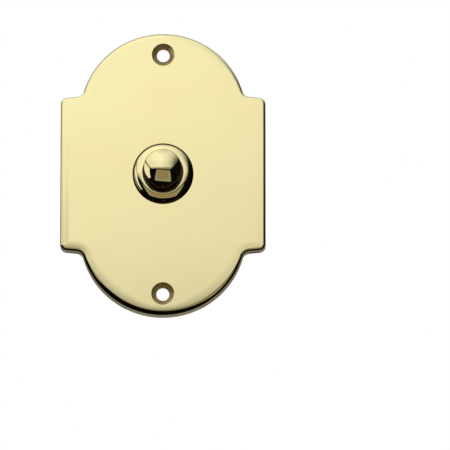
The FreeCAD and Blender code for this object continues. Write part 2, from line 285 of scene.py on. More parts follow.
table_light = sky_mix(on_cloth, (0.31, 0.30, 0.27, 1), (0.29, 0.235, 0.145, 1))
studio = sky_mix(behind, (0.004, 0.0035, 0.004, 1), back_wall)
studio = sky_mix(on_table, studio, table_light)
studio = sky_mix(on_card, studio, (0.96, 0.94, 0.92, 1))
studio = sky_mix(in_tent, studio, tent_light)
print("studio drawn")


# %% [markdown]
# The camera itself sees plain white behind the button. Mirror rays see the studio above, and the
# rays that light paint and plastic get a soft even light instead, so that dull pieces show about
# their own colour.

# %% Choose the light by the kind of ray
def sky_light(colour, strength):
    """Background shader of one colour and strength."""
    node = sky.nodes.new("ShaderNodeBackground")
    node.inputs["Strength"].default_value = strength
    if isinstance(colour, tuple):
        node.inputs["Color"].default_value = colour
    else:
        sky.links.new(colour, node.inputs["Color"])
    return node.outputs[0]


def sky_choose(mask, off, on):
    """Mix of two shaders by a mask."""
    node = sky.nodes.new("ShaderNodeMixShader")
    sky.links.new(mask, node.inputs[0])
    sky.links.new(off, node.inputs[1])
    sky.links.new(on, node.inputs[2])
    return node.outputs[0]


path = sky.nodes.new("ShaderNodeLightPath")
even = sky_light((1, 1, 1, 1), 0.8)
mirrored = sky_light(studio, 1.0)
white = sky_light((1, 1, 1, 1), 1.0)
shiny = sky_math("MAXIMUM", path.outputs["Is Glossy Ray"], path.outputs["Is Transmission Ray"])
light = sky_choose(shiny, even, mirrored)
light = sky_choose(path.outputs["Is Camera Ray"], light, white)
sky.links.new(light, sky.nodes.new("ShaderNodeOutputWorld").inputs["Surface"])
print("studio has", len(sky.nodes), "nodes")


# %% [markdown]
# A pale floor lies well below the button, and one large soft lamp above gives dull pieces a
# lighter and a darker side. Mirrors don't see either of them, because they already see the tent.

# %% Add the floor and the soft lamp
FLOOR_HEIGHT = -0.45

start_clean()
bpy.ops.mesh.primitive_plane_add(size=8, location=(0, 0, FLOOR_HEIGHT))
floor = bpy.context.object
floor.name = "studio_floor"
floor.visible_glossy = False
floor_paint = bpy.data.materials.new("Pale floor")
floor_paint.use_nodes = True
tree = floor_paint.node_tree
paint = tree.nodes["Principled BSDF"]
paint.inputs["Base Color"].default_value = (0.86, 0.86, 0.86, 1)
paint.inputs["Roughness"].default_value = 0.8
glow = tree.nodes.new("ShaderNodeEmission")
glow.inputs["Strength"].default_value = 1.0
blend = tree.nodes.new("ShaderNodeMixShader")
seen = tree.nodes.new("ShaderNodeMath")
seen.operation = "MULTIPLY"
seen.inputs[1].default_value = 0.6
tree.links.new(tree.nodes.new("ShaderNodeLightPath").outputs["Is Camera Ray"], seen.inputs[0])
tree.links.new(seen.outputs[0], blend.inputs[0])
tree.links.new(paint.outputs[0], blend.inputs[1])
tree.links.new(glow.outputs[0], blend.inputs[2])
tree.links.new(blend.outputs[0], tree.nodes["Material Output"].inputs["Surface"])
floor.data.materials.append(floor_paint)

bpy.ops.object.light_add(type="AREA", location=(-0.35, -0.5, 0.6))
lamp = bpy.context.object
lamp.data.shape = "DISK"
lamp.data.size = 0.5
lamp.data.energy = 4
lamp.visible_glossy = False
lamp.rotation_euler = (Vector((0, 0, 0)) - lamp.location).to_track_quat("-Z", "Y").to_euler()
print("floor at", FLOOR_HEIGHT, "m")


# %% [markdown]
# ## Finishes
#
# Effects that more than one metal uses are node groups: slow patches of colour, haze left by
# polishing, the fine rings of a lathe, straight rolling lines and a cast or moulded grain. Each
# group gives only a colour, a value or a height, and the shader stays in the material.

# %% Helper that starts a node group
def new_group(name, inputs, output):
    """Empty node group with named inputs of (name, kind, default) and one named output."""
    group = bpy.data.node_groups.new(name, "ShaderNodeTree")
    for label, kind, default in inputs:
        socket = group.interface.new_socket(label, in_out="INPUT", socket_type="NodeSocket" + kind)
        if default is not None:
            socket.default_value = default
    group.interface.new_socket(output[0], in_out="OUTPUT", socket_type="NodeSocket" + output[1])
    return group, group.nodes.new("NodeGroupInput"), group.nodes.new("NodeGroupOutput")


def add_node(tree, kind, settings=(), values=(), links=()):
    """Node with its settings, its sockets' values and its links from other sockets."""
    node = tree.nodes.new("ShaderNode" + kind)
    for name, value in settings:
        setattr(node, name, value)
    for socket, value in values:
        node.inputs[socket].default_value = value
    for socket, source in links:
        tree.links.new(source, node.inputs[socket])
    return node
print("helpers for groups")


# %% [markdown]
# Brass that has been handled is never one even colour. A large soft noise mixes two tones that are
# close together.

# %% Group: slow patches between two colours
tone_group, start, end = new_group(
    "Tone drift",
    [
        ("Vector", "Vector", None),
        ("Scale", "Float", 90.0),
        ("Light", "Color", (1, 1, 1, 1)),
        ("Dark", "Color", (0, 0, 0, 1)),
    ],
    ("Color", "Color"),
)
noise = add_node(
    tone_group,
    "TexNoise",
    values=[("Detail", 3.0), ("Roughness", 0.55)],
    links=[("Vector", start.outputs["Vector"]), ("Scale", start.outputs["Scale"])],
)
spread = add_node(
    tone_group,
    "MapRange",
    values=[("From Min", 0.3), ("From Max", 0.7)],
    links=[("Value", noise.outputs[0])],
)
mix = add_node(tone_group, "Mix", settings=[("data_type", "RGBA")])
tone_group.links.new(spread.outputs[0], mix.inputs[0])
tone_group.links.new(start.outputs["Dark"], mix.inputs[6])
tone_group.links.new(start.outputs["Light"], mix.inputs[7])
tone_group.links.new(mix.outputs[2], end.inputs["Color"])
print("group", tone_group.name)

# %% [markdown]
# A polishing wheel misses some places a little, so the roughness drifts between two values.

# %% Group: haze left by the polishing wheel
haze_group, start, end = new_group(
    "Polish haze",
    [
        ("Vector", "Vector", None),
        ("Scale", "Float", 300.0),
        ("Low", "Float", 0.03),
        ("High", "Float", 0.08),
    ],
    ("Roughness", "Float"),
)
noise = add_node(
    haze_group,
    "TexNoise",
    values=[("Detail", 4.0), ("Roughness", 0.6)],
    links=[("Vector", start.outputs["Vector"]), ("Scale", start.outputs["Scale"])],
)
spread = add_node(
    haze_group,
    "MapRange",
    values=[("From Min", 0.35), ("From Max", 0.7)],
    links=[
        ("Value", noise.outputs[0]),
        ("To Min", start.outputs["Low"]),
        ("To Max", start.outputs["High"]),
    ],
)
haze_group.links.new(spread.outputs[0], end.inputs["Roughness"])
print("group", haze_group.name)

# %% [markdown]
# Turned brass keeps very fine rings from the tool. The distance from the lathe's axis plus the
# place along it counts the rings, and a one-dimensional noise gives each its own height.

# %% Group: rings that a lathe leaves round the Y axis
rings_group, start, end = new_group(
    "Lathe rings",
    [("Vector", "Vector", None), ("Pitch", "Float", 0.00012)],
    ("Height", "Float"),
)
parts = add_node(rings_group, "SeparateXYZ", links=[(0, start.outputs["Vector"])])
across = add_node(
    rings_group, "CombineXYZ", links=[(0, parts.outputs["X"]), (2, parts.outputs["Z"])]
)
radius = add_node(
    rings_group, "VectorMath", settings=[("operation", "LENGTH")], links=[(0, across.outputs[0])]
)
climb = add_node(
    rings_group,
    "Math",
    settings=[("operation", "ADD")],
    links=[(0, radius.outputs["Value"]), (1, parts.outputs["Y"])],
)
count = add_node(
    rings_group,
    "Math",
    settings=[("operation", "DIVIDE")],
    links=[(0, climb.outputs[0]), (1, start.outputs["Pitch"])],
)
lane = add_node(
    rings_group,
    "TexNoise",
    settings=[("noise_dimensions", "1D")],
    values=[("Scale", 1.0), ("Detail", 2.0)],
)
rings_group.links.new(count.outputs[0], lane.inputs["W"])
rings_group.links.new(lane.outputs[0], end.inputs["Height"])
print("group", rings_group.name)

# %% [markdown]
# Sand, a mould and rolls leave a fine uneven grain. Stretching the coordinates draws the same
# noise out into lines for wire and strip.

# %% Group: grain of a casting, a moulding or a rolled strip
grain_group, start, end = new_group(
    "Surface grain",
    [("Vector", "Vector", None), ("Scale", "Float", 4000.0), ("Stretch", "Vector", (1, 1, 1))],
    ("Height", "Float"),
)
drawn = add_node(
    grain_group,
    "VectorMath",
    settings=[("operation", "MULTIPLY")],
    links=[(0, start.outputs["Vector"]), (1, start.outputs["Stretch"])],
)
noise = add_node(
    grain_group,
    "TexNoise",
    values=[("Detail", 5.0), ("Roughness", 0.6)],
    links=[("Vector", drawn.outputs[0]), ("Scale", start.outputs["Scale"])],
)
grain_group.links.new(noise.outputs[0], end.inputs["Height"])
print("group", grain_group.name)


# %% [markdown]
# Every finish here has the same frame: the groups read the piece's own Object coordinates, tone
# drift feeds the colour, haze feeds the roughness, and a height group feeds a Bump node. Numbers
# that are the same all over are set on the shader's own sockets.

# %% Helper that builds a finish
def make_finish(
    name, light, dark, tone_scale, rough, metallic=1.0, relief=None, haze_scale=300.0, mirrored=None
):
    """Material from two tones, a roughness range, an optional relief of (group, values, strength,
    distance) and an optional darker colour that mirror rays see instead: painted shade."""
    material = bpy.data.materials.new(name)
    material.use_nodes = True
    tree = material.node_tree
    shader = tree.nodes["Principled BSDF"]
    shader.inputs["Metallic"].default_value = metallic
    spot = tree.nodes.new("ShaderNodeTexCoord").outputs["Object"]

    def use(group, values):
        node = tree.nodes.new("ShaderNodeGroup")
        node.node_tree = group
        tree.links.new(spot, node.inputs["Vector"])
        for socket, value in values:
            node.inputs[socket].default_value = value
        return node.outputs[0]

    colour = use(tone_group, [("Scale", tone_scale), ("Light", (*light, 1)), ("Dark", (*dark, 1))])
    # Painted shade: mirror rays see this darker brass colour in place of the two tones.
    if mirrored:
        pick = tree.nodes.new("ShaderNodeMix")
        pick.data_type = "RGBA"
        pick.inputs[7].default_value = (*mirrored, 1)
        light_path = tree.nodes.new("ShaderNodeLightPath")
        tree.links.new(light_path.outputs["Is Glossy Ray"], pick.inputs[0])
        tree.links.new(colour, pick.inputs[6])
        colour = pick.outputs[2]
    tree.links.new(colour, shader.inputs["Base Color"])
    haze = use(haze_group, [("Scale", haze_scale), ("Low", rough[0]), ("High", rough[1])])
    tree.links.new(haze, shader.inputs["Roughness"])
    if relief:
        group, values, strength, distance = relief
        bump = tree.nodes.new("ShaderNodeBump")
        bump.inputs["Strength"].default_value = strength
        bump.inputs["Distance"].default_value = distance
        tree.links.new(use(group, values), bump.inputs["Height"])
        tree.links.new(bump.outputs[0], shader.inputs["Normal"])
    return material


# %% [markdown]
# The plate, collar and knob are the same polished brass, each with its own slight wear. Where one
# of them mirrors another, mirror rays see a much darker brass colour instead: painted shade, which
# gives the dark lines round the collar and under the knob. A countersink is only machined, the
# hollow back is as cast, and the knob's flange inside the collar is tarnished.

# %% Mix the brasses
# Painted shade: the near-black brass colour that mirror rays see on the polished pieces.
PAINTED_SHADE_BRASS = (0.04, 0.03, 0.01)

polished_brass = make_finish(
    "Polished brass",
    (0.955, 0.86, 0.46),
    (0.945, 0.84, 0.445),
    60,
    (0.015, 0.035),
    mirrored=PAINTED_SHADE_BRASS,
)
collar_brass = make_finish(
    "Polished turned brass",
    (0.955, 0.86, 0.46),
    (0.945, 0.84, 0.445),
    120,
    (0.02, 0.05),
    mirrored=PAINTED_SHADE_BRASS,
    relief=(rings_group, [("Pitch", 0.00015)], 0.05, 0.000003),
)
knob_brass = make_finish(
    "Polished knob brass",
    (0.915, 0.825, 0.445),
    (0.905, 0.81, 0.435),
    150,
    (0.02, 0.04),
    mirrored=PAINTED_SHADE_BRASS,
)
sink_brass = make_finish(
    "Countersunk brass",
    (0.76, 0.62, 0.35),
    (0.66, 0.53, 0.28),
    400,
    (0.36, 0.5),
    relief=(rings_group, [("Pitch", 0.0002)], 0.05, 0.000003),
)
tarnished_brass = make_finish(
    "Tarnished brass",
    (0.20, 0.15, 0.08),
    (0.12, 0.09, 0.05),
    260,
    (0.3, 0.42),
    relief=(grain_group, [("Scale", 2000.0)], 0.2, 0.00001),
)
cast_brass = make_finish(
    "Cast brass back",
    (0.70, 0.55, 0.27),
    (0.50, 0.37, 0.17),
    220,
    (0.38, 0.55),
    relief=(grain_group, [("Scale", 2600.0)], 0.5, 0.00006),
)
turned_brass = make_finish(
    "Machined brass",
    (0.86, 0.68, 0.34),
    (0.74, 0.56, 0.26),
    300,
    (0.14, 0.26),
    relief=(grain_group, [("Scale", 900.0), ("Stretch", (1, 8, 1))], 0.15, 0.00001),
)
print(len(bpy.data.materials), "materials")

# %% [markdown]
# Behind the plate are zinc plated screws, spring wire, a black moulding, an insulating pin and
# contact strips. Their colours are those of the plain materials under soft light.

# %% Mix the other finishes
plated_steel = make_finish(
    "Zinc plated steel",
    (0.66, 0.67, 0.66),
    (0.55, 0.55, 0.52),
    500,
    (0.2, 0.34),
    relief=(grain_group, [("Scale", 3000.0)], 0.12, 0.00001),
)
spring_steel = make_finish(
    "Drawn spring wire",
    (0.52, 0.52, 0.53),
    (0.42, 0.42, 0.43),
    600,
    (0.18, 0.3),
    relief=(grain_group, [("Scale", 2500.0), ("Stretch", (1, 6, 1))], 0.1, 0.00001),
)
moulded_black = make_finish(
    "Black moulding",
    (0.022, 0.021, 0.02),
    (0.012, 0.0115, 0.011),
    700,
    (0.3, 0.42),
    metallic=0.0,
    relief=(grain_group, [("Scale", 6000.0)], 0.25, 0.00002),
)
natural_nylon = make_finish(
    "Natural nylon",
    (0.82, 0.79, 0.70),
    (0.76, 0.72, 0.62),
    300,
    (0.35, 0.45),
    metallic=0.0,
    relief=(grain_group, [("Scale", 3500.0)], 0.1, 0.00001),
)
spring_bronze = make_finish(
    "Rolled bronze strip",
    (0.78, 0.50, 0.28),
    (0.68, 0.42, 0.22),
    260,
    (0.16, 0.3),
    relief=(grain_group, [("Scale", 1500.0), ("Stretch", (6, 6, 0.4))], 0.15, 0.00001),
)
silver = make_finish(
    "Contact silver",
    (0.90, 0.89, 0.87),
    (0.80, 0.79, 0.76),
    900,
    (0.1, 0.2),
    relief=(grain_group, [("Scale", 4000.0)], 0.1, 0.00001),
)
print(len(bpy.data.materials), "materials")

# %% [markdown]
# The CAD pieces whose shape is already right keep it, and only get their finish. The packed
# record says which slot each one takes it from.

# %% Finish the CAD pieces
SLOT_FINISH = {
    "polished_brass": polished_brass,
    "turned_brass": turned_brass,
    "plated_steel": plated_steel,
    "spring_steel": spring_steel,
    "moulded_base": moulded_black,
    "pusher_nylon": natural_nylon,
    "spring_bronze": spring_bronze,
    "silver_contact": silver,
}
for part in frame["record"]["subparts"]:
    node = frame["nodes"][part["node"]]
    finish = SLOT_FINISH[part["material_slot"]]
    if not node.material_slots:
        node.data.materials.append(finish)
    for material_slot in node.material_slots:
        material_slot.material = finish
print(len(frame["nodes"]), "CAD pieces finished")


# %% [markdown]
# ## Face plate
#
# The plate is a brass casting: an arch above and below a wider body with sloping shoulders, its
# front edge rounded by the buffing wheel, and its back hollow. Its outline could be joined from
# circles and a box, but the soft edge needs the outline again and again, each time a little
# smaller. So the outline is worked out once for any inset, and the plate is extruded from ring
# to ring: down the rounded edge, along the side, over the rim and into the hollow.

# %% Work out the outline
HALF_WIDTH = 30.0
ARCH_RADIUS = 24.3
ARCH_CENTRE = 17.7
SHOULDER_HEIGHT = 22.6
SHOULDER_SLOPE = math.radians(5.5)
CORNER_RADIUS = 1.9
NOTCH_RADIUS = 2.2


def arc(centre, radius, start, end, steps):
    """Points (x, z) along an arc, angles from the X axis towards Z."""
    turns = [start + (end - start) * i / steps for i in range(steps + 1)]
    return [(centre[0] + radius * math.cos(a), centre[1] + radius * math.sin(a)) for a in turns]


def outline(inset, corner=CORNER_RADIUS):
    """Closed outline of the plate as (x, z), moved inwards by an inset."""
    sine, cosine = math.sin(SHOULDER_SLOPE), math.cos(SHOULDER_SLOPE)
    level = HALF_WIDTH * sine + SHOULDER_HEIGHT * cosine - inset
    rounding = max(corner - inset, 0.05)
    corner_x = HALF_WIDTH - inset - rounding
    corner_z = (level - rounding - corner_x * sine) / cosine
    lean = math.pi / 2 - SHOULDER_SLOPE
    points = arc((corner_x, corner_z), rounding, 0, lean, 8)
    hollow = NOTCH_RADIUS + inset
    arch = ARCH_RADIUS - inset
    rise = level - ARCH_CENTRE * cosine + hollow
    along = math.sqrt((arch + hollow) ** 2 - rise**2)
    notch = (rise * sine + along * cosine, ARCH_CENTRE + rise * cosine - along * sine)
    meet = math.atan2(notch[1] - ARCH_CENTRE, notch[0])
    points += arc(notch, hollow, lean - math.pi, meet - math.pi, 10)
    points += arc((0, ARCH_CENTRE), arch, meet, math.pi / 2, 56)[1:]
    left = [(-x, z) for x, z in points[-2::-1]]
    upper = points + left
    return upper + [(x, -z) for x, z in upper[::-1]]


print(len(outline(0)), "corners in the outline")


# %% [markdown]
# The next helpers are the ring work itself. A circle is added in edit mode, its corners are set on
# the first ring, and extruding its edges gives the next one. The two loops at a shell's ends are
# kept by number, so that flat faces can be filled between several loops later.

# %% Helpers that extrude from ring to ring
def begin_piece(name):
    """New mesh piece in edit mode with nothing in it yet."""
    start_clean()
    bpy.ops.mesh.primitive_circle_add(vertices=3, radius=0.001)
    piece = bpy.context.object
    piece.name = name
    piece.data.name = name
    bpy.ops.object.mode_set(mode="EDIT")
    bpy.ops.mesh.select_all(action="SELECT")
    bpy.ops.mesh.delete(type="VERT")
    return piece


def add_shell(piece, rings):
    """Extrudes a shell through rings of points. Gives the numbers of its first and last corners."""
    bpy.ops.mesh.select_all(action="DESELECT")
    bpy.ops.mesh.primitive_circle_add(vertices=len(rings[0]), radius=0.001)
    mesh = bmesh.from_edit_mesh(piece.data)
    mesh.verts.index_update()
    circle = [v for v in mesh.verts if v.select]
    circle.sort(key=lambda v: math.atan2(v.co.y, v.co.x))
    loop = [v.index for v in circle]
    mesh.verts.ensure_lookup_table()
    for index, point in zip(loop, rings[0]):
        mesh.verts[index].co = point
    first = loop
    for ring in rings[1:]:
        bpy.ops.mesh.extrude_edges_move()
        mesh = bmesh.from_edit_mesh(piece.data)
        mesh.verts.index_update()
        mesh.verts.ensure_lookup_table()
        grown = []
        for index, point in zip(loop, ring):
            old = mesh.verts[index]
            new = next(e.other_vert(old) for e in old.link_edges if e.other_vert(old).select)
            new.co = point
            grown.append(new.index)
        loop = grown
    bmesh.update_edit_mesh(piece.data)
    return first, loop


def ring_of(points, out):
    """Ring in space from an outline's points and a height."""
    return [place(x, out, z) for x, z in points]


def circle_ring(radius, out, x=0.0, z=0.0, count=96):
    """Ring in space from a circle."""
    return ring_of(arc((x, z), radius, 0, 2 * math.pi, count)[:-1], out)


def fill_between(piece, loops):
    """Fills the flat face that the given loops of corners bound."""
    bpy.ops.mesh.select_all(action="DESELECT")
    mesh = bmesh.from_edit_mesh(piece.data)
    mesh.verts.ensure_lookup_table()
    for loop in loops:
        chosen = [mesh.verts[i] for i in loop]
        for corner, following in zip(chosen, chosen[1:] + chosen[:1]):
            mesh.edges.get((corner, following)).select_set(True)
    mesh.select_flush_mode()
    bmesh.update_edit_mesh(piece.data)
    bpy.ops.mesh.fill(use_beauty=True)


def finish_piece(piece, finish, angle=30, merge=1e-7):
    """Merges doubles, turns faces outwards, smooths by angle and leaves edit mode."""
    bpy.context.view_layer.objects.active = piece
    if piece.mode != "EDIT":
        start_clean()
        piece.select_set(True)
        bpy.context.view_layer.objects.active = piece
        bpy.ops.object.mode_set(mode="EDIT")
    bpy.ops.mesh.select_all(action="SELECT")
    bpy.ops.mesh.remove_doubles(threshold=merge)
    bpy.ops.mesh.normals_make_consistent(inside=False)
    bpy.ops.object.mode_set(mode="OBJECT")
    piece.select_set(True)
    bpy.ops.object.shade_smooth_by_angle(angle=math.radians(angle))
    if finish:
        piece.data.materials.append(finish)
    print(piece.name, len(piece.data.polygons), "faces")


# %% [markdown]
# The buffing wheel leaves the front edge soft. Its rounding is small along the wider body and
# larger at the ends of the arches, and inside it the face begins to fall away a few millimetres
# before the edge, most at the lower left and the foot. A bevel has one width all round, so the
# edge is made of rings, and each corner of a ring takes its own inset and drop. Two outlines that
# were worked out in steps give the place between them.

# %% Shape the soft edge
PLATE_FACE = 4.5
EDGE_RADIUS = 1.7
SIDE_RADIUS = 1.0
SINK_MARGIN = 3.0
EASE_START = 4.0
EASE_TILT = math.radians(3.5)
EASE_STEPS = 16
EDGE_STEPS = 26
FLAT_MARGIN = 0.04
OUTLINE_STEP = 0.25
OUTLINES = [outline(OUTLINE_STEP * i) for i in range(19)]


def ramp(value, low, high):
    """Value's share of the way from low to high, kept between 0 and 1."""
    return min(max((value - low) / (high - low), 0), 1)


def edge_radius(x, z):
    """Front edge rounding, which grows from the wider body to the ends of the arches."""
    return SIDE_RADIUS + (EDGE_RADIUS - SIDE_RADIUS) * ramp(abs(z), 24, 36)


def ease_start(x, z):
    """Inset at which the face begins to fall away: widest on the arches, off the countersinks."""
    return SINK_MARGIN + (EASE_START - SINK_MARGIN) * ramp(abs(z), 27, 34) * ramp(abs(x), 4, 10)


def buffing(x, z):
    """How far the wheel went round: most at the lower left and the foot, little above."""
    return 0.15 + 0.85 * ramp(-z, 10, 22) * (1 - 0.85 * ramp(x, 4, 24))


def edge_ring(inset_of, drop_of):
    """Ring on the edge, from functions of the radius, the soft zone's width and the buffing."""
    ring = []
    for index, (x, z) in enumerate(OUTLINES[0]):
        radius, wear = edge_radius(x, z), buffing(x, z)
        width = ease_start(x, z) - radius * (1 - math.sin(EASE_TILT))
        step, share = divmod(inset_of(radius, width) / OUTLINE_STEP, 1)
        near, far = OUTLINES[int(step)][index], OUTLINES[int(step) + 1][index]
        across = near[0] + (far[0] - near[0]) * share
        along = near[1] + (far[1] - near[1]) * share
        ring.append(place(across, PLATE_FACE - drop_of(radius, width, wear), along))
    return ring


def soft_ring(share, margin=0.0, level=False):
    """Ring in the soft zone, from its start on the face (0) to the rounding (1)."""
    return edge_ring(
        lambda radius, width: radius * (1 - math.sin(EASE_TILT)) + width * (1 - share) + margin,
        lambda radius, width, wear: 0
        if level
        else wear * width * share**2 * math.tan(EASE_TILT) / 2,
    )


def round_ring(turn):
    """Ring where the rounding has turned by an angle."""
    return edge_ring(
        lambda radius, width: radius * (1 - math.sin(turn)),
        lambda radius, width, wear: wear * width * math.tan(EASE_TILT) / 2
        + radius * (math.cos(EASE_TILT) - math.cos(turn)),
    )


shell = [soft_ring(0, margin=FLAT_MARGIN, level=True)]
shell += [soft_ring(step / EASE_STEPS) for step in range(EASE_STEPS + 1)]
for step in range(1, EDGE_STEPS + 1):
    shell.append(round_ring(EASE_TILT + (math.pi / 2 - EASE_TILT) * step / EDGE_STEPS))
print(len(shell), "rings in the soft edge")

# %% [markdown]
# From the soft edge the shell goes down the straight side, round the rim that bears on the wall
# and up into the hollow, which ends in a fillet at its floor.

# %% Extrude the plate's shell
POCKET_FLOOR = 2.3
POCKET_FILLET = 0.6
POCKET_CORNER = 2.4
RIM_WIDTH = 2.2
RIM_ROUNDING = 0.3
MOUTH_CHAMFER = 0.2
SUPPORT = 0.05

shell += [
    ring_of(outline(0), RIM_ROUNDING + SUPPORT),
    ring_of(outline(0), RIM_ROUNDING),
    ring_of(outline(0.3 * RIM_ROUNDING), 0.3 * RIM_ROUNDING),
    ring_of(outline(RIM_ROUNDING), 0),
    ring_of(outline(RIM_ROUNDING + SUPPORT), 0),
    ring_of(outline(RIM_WIDTH - MOUTH_CHAMFER, POCKET_CORNER), 0),
    ring_of(outline(RIM_WIDTH, POCKET_CORNER + MOUTH_CHAMFER), MOUTH_CHAMFER),
    ring_of(outline(RIM_WIDTH, POCKET_CORNER + MOUTH_CHAMFER), POCKET_FLOOR - POCKET_FILLET),
]
for step in range(1, 7):
    turn = math.radians(90 * step / 6)
    inset = RIM_WIDTH + POCKET_FILLET * (1 - math.cos(turn))
    shell.append(
        ring_of(
            outline(inset, POCKET_CORNER + POCKET_FILLET),
            POCKET_FLOOR - POCKET_FILLET * (1 - math.sin(turn)),
        )
    )
plate = begin_piece("plate_casting")
plate_front, plate_floor = add_shell(plate, shell)
print(len(shell), "rings")

# %% [markdown]
# The holes are shells of their own in the same mesh. A countersunk hole starts with a small
# rounding at its rim, which catches the light, then runs down its cone to the screw hole.

# %% Sink the screw holes
SCREW_HALF_PITCH = 35.5
SINK_RADIUS = 3.3
SINK_SUPPORT = 0.12
SINK_STEPS = (
    (0.1, 0),
    (0.07, 0),
    (0.035, 0.007),
    (0.0, 0.027),
    (-0.035, 0.06),
    (-0.06, 0.085),
    (-1.32, 1.345),
    (-1.36, 1.39),
    (-1.39, 1.45),
    (-1.4, 1.52),
    (-1.4, 2.2),
)

fronts, floors = [plate_front], [plate_floor]
for z in (SCREW_HALF_PITCH, -SCREW_HALF_PITCH):
    rings = [circle_ring(SINK_RADIUS + SINK_SUPPORT, PLATE_FACE, z=z)]
    for radius, out in SINK_STEPS:
        rings.append(circle_ring(SINK_RADIUS + radius, PLATE_FACE - out, z=z))
    first, last = add_shell(plate, rings)
    fronts.append(first)
    floors.append(last)
print(len(fronts) - 1, "screw holes")

# %% [markdown]
# The collar's shank goes through a plain hole in the middle. Each boss behind is a post with a
# foot fillet, a chamfered end and a tapped hole that stops inside it.

# %% Add the centre hole and the bosses
CENTRE_HOLE = 7.65
BOSS_X = 13.0
BOSS_END = -2.0
BOSS_SECTION = (
    (3.3, POCKET_FLOOR),
    (3.09, POCKET_FLOOR - 0.09),
    (3.0, POCKET_FLOOR - 0.3),
    (3.0, BOSS_END + 0.25),
    (2.75, BOSS_END),
    (1.75, BOSS_END),
    (1.5, BOSS_END + 0.25),
    (1.5, 1.9),
    (0.0005, 2.0),
)

first, last = add_shell(
    plate, [circle_ring(CENTRE_HOLE, PLATE_FACE), circle_ring(CENTRE_HOLE, POCKET_FLOOR)]
)
fronts.append(first)
floors.append(last)
for x in (BOSS_X, -BOSS_X):
    post = [circle_ring(radius, out, x=x, count=48) for radius, out in BOSS_SECTION]
    first, last = add_shell(plate, post)
    floors.append(first)
print(len(floors), "loops on the hollow's floor")

# %% [markdown]
# The face and the hollow's floor are filled flat between their loops. Then the faces get their
# finish by their place: countersinks as machined, the hollow and the bosses as cast.

# %% Close the plate and give it its finishes
HOLLOW_HALF_WIDTH = 27.5
HOLLOW_HALF_HEIGHT = 39.6
SINK_LIP = 0.04

fill_between(plate, fronts)
fill_between(plate, floors)
finish_piece(plate, polished_brass)
plate.data.materials.append(cast_brass)
plate.data.materials.append(sink_brass)
for face in plate.data.polygons:
    x, out, z = face.center.x / MM, -face.center.y / MM, face.center.z / MM
    sunk = math.hypot(x, abs(z) - SCREW_HALF_PITCH) < SINK_RADIUS - SINK_LIP
    floor_face = face.normal.y > 0.5 and out > 0.5
    wall_face = (
        abs(face.normal.y) < 0.5
        and out < POCKET_FLOOR - 0.05
        and abs(x) < HOLLOW_HALF_WIDTH
        and abs(z) < HOLLOW_HALF_HEIGHT
    )
    as_cast = floor_face or wall_face or out < -0.001
    face.material_index = 2 if sunk else 1 if as_cast else 0
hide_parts("face_plate")
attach(plate, "housing")


# %% [markdown]
# A photographer darkens the edges of polished metal with a black flag, a strip of cloth held just
# outside the picture. Here it follows the plate's lower outline at a small distance. It is the
# outline again, extruded forwards and cut off above the shoulders, and it reaches furthest forwards
# at the lower left, where the edge is darkest. Only mirror rays see it.

# %% Hang the black flag
FLAG_GAP = 0.5
FLAG_START = 4.1
FLAG_TOP = -21.0
FLAG_DEPTHS = (
    (-31, 3),
    (-24, 2.5),
    (-21, 1),
    (-18.5, 8),
    (-17, 12),
    (2, 9),
    (10, 3.5),
    (15, 1.6),
    (20, 1.2),
    (26, 2),
    (31, 2),
)


def flag_depth(x):
    """How far the flag reaches forwards at a place along it."""
    for (start, near), (end, far) in zip(FLAG_DEPTHS, FLAG_DEPTHS[1:]):
        if x <= end:
            return near + (far - near) * ramp(x, start, end)
    return FLAG_DEPTHS[-1][1]


flag_cloth = bpy.data.materials.new("Black flag")
flag_cloth.use_nodes = True
cloth_shader = flag_cloth.node_tree.nodes["Principled BSDF"]
cloth_shader.inputs["Base Color"].default_value = (0.002, 0.002, 0.002, 1)
cloth_shader.inputs["Specular IOR Level"].default_value = 0
cloth_shader.inputs["Roughness"].default_value = 1
flag = begin_piece("black_flag")
flag_line = outline(-FLAG_GAP)
flag_front = [place(x, FLAG_START + flag_depth(x), z) for x, z in flag_line]
add_shell(flag, [ring_of(flag_line, FLAG_START), flag_front])
bpy.ops.mesh.select_all(action="SELECT")
bpy.ops.mesh.bisect(plane_co=place(0, 0, FLAG_TOP), plane_no=(0, 0, 1), clear_outer=True)
finish_piece(flag, flag_cloth)
flag.visible_camera = flag.visible_diffuse = False
flag.visible_shadow = flag.visible_transmission = False


# %% [markdown]
# ## Collar and knob
#
# Both are lathe work, so both are spun from half a section. The section's corners are listed from
# the front to the back with the radius that the turner left on each, a helper rounds them, and
# the line is extruded corner by corner and spun round the axis.

# %% Helpers for turned pieces
def rounded_section(corners, step=7.5):
    """Section (radius, out) from corners (radius, out, rounding)."""
    points = []
    for index, (radius, out, rounding) in enumerate(corners):
        here = Vector((radius, out))
        if rounding <= 0 or index in (0, len(corners) - 1):
            points.append(here)
            continue
        back = (Vector(corners[index - 1][:2]) - here).normalized()
        ahead = (Vector(corners[index + 1][:2]) - here).normalized()
        half = back.angle(ahead) / 2
        reach = rounding / math.tan(half)
        centre = here + (back + ahead).normalized() * (rounding / math.sin(half))
        start, finish = here + back * reach - centre, here + ahead * reach - centre
        sweep = start.angle_signed(finish)
        count = max(2, math.ceil(abs(math.degrees(sweep)) / step))
        for i in range(count + 1):
            points.append(centre + Matrix.Rotation(-sweep * i / count, 2) @ start)
    return points


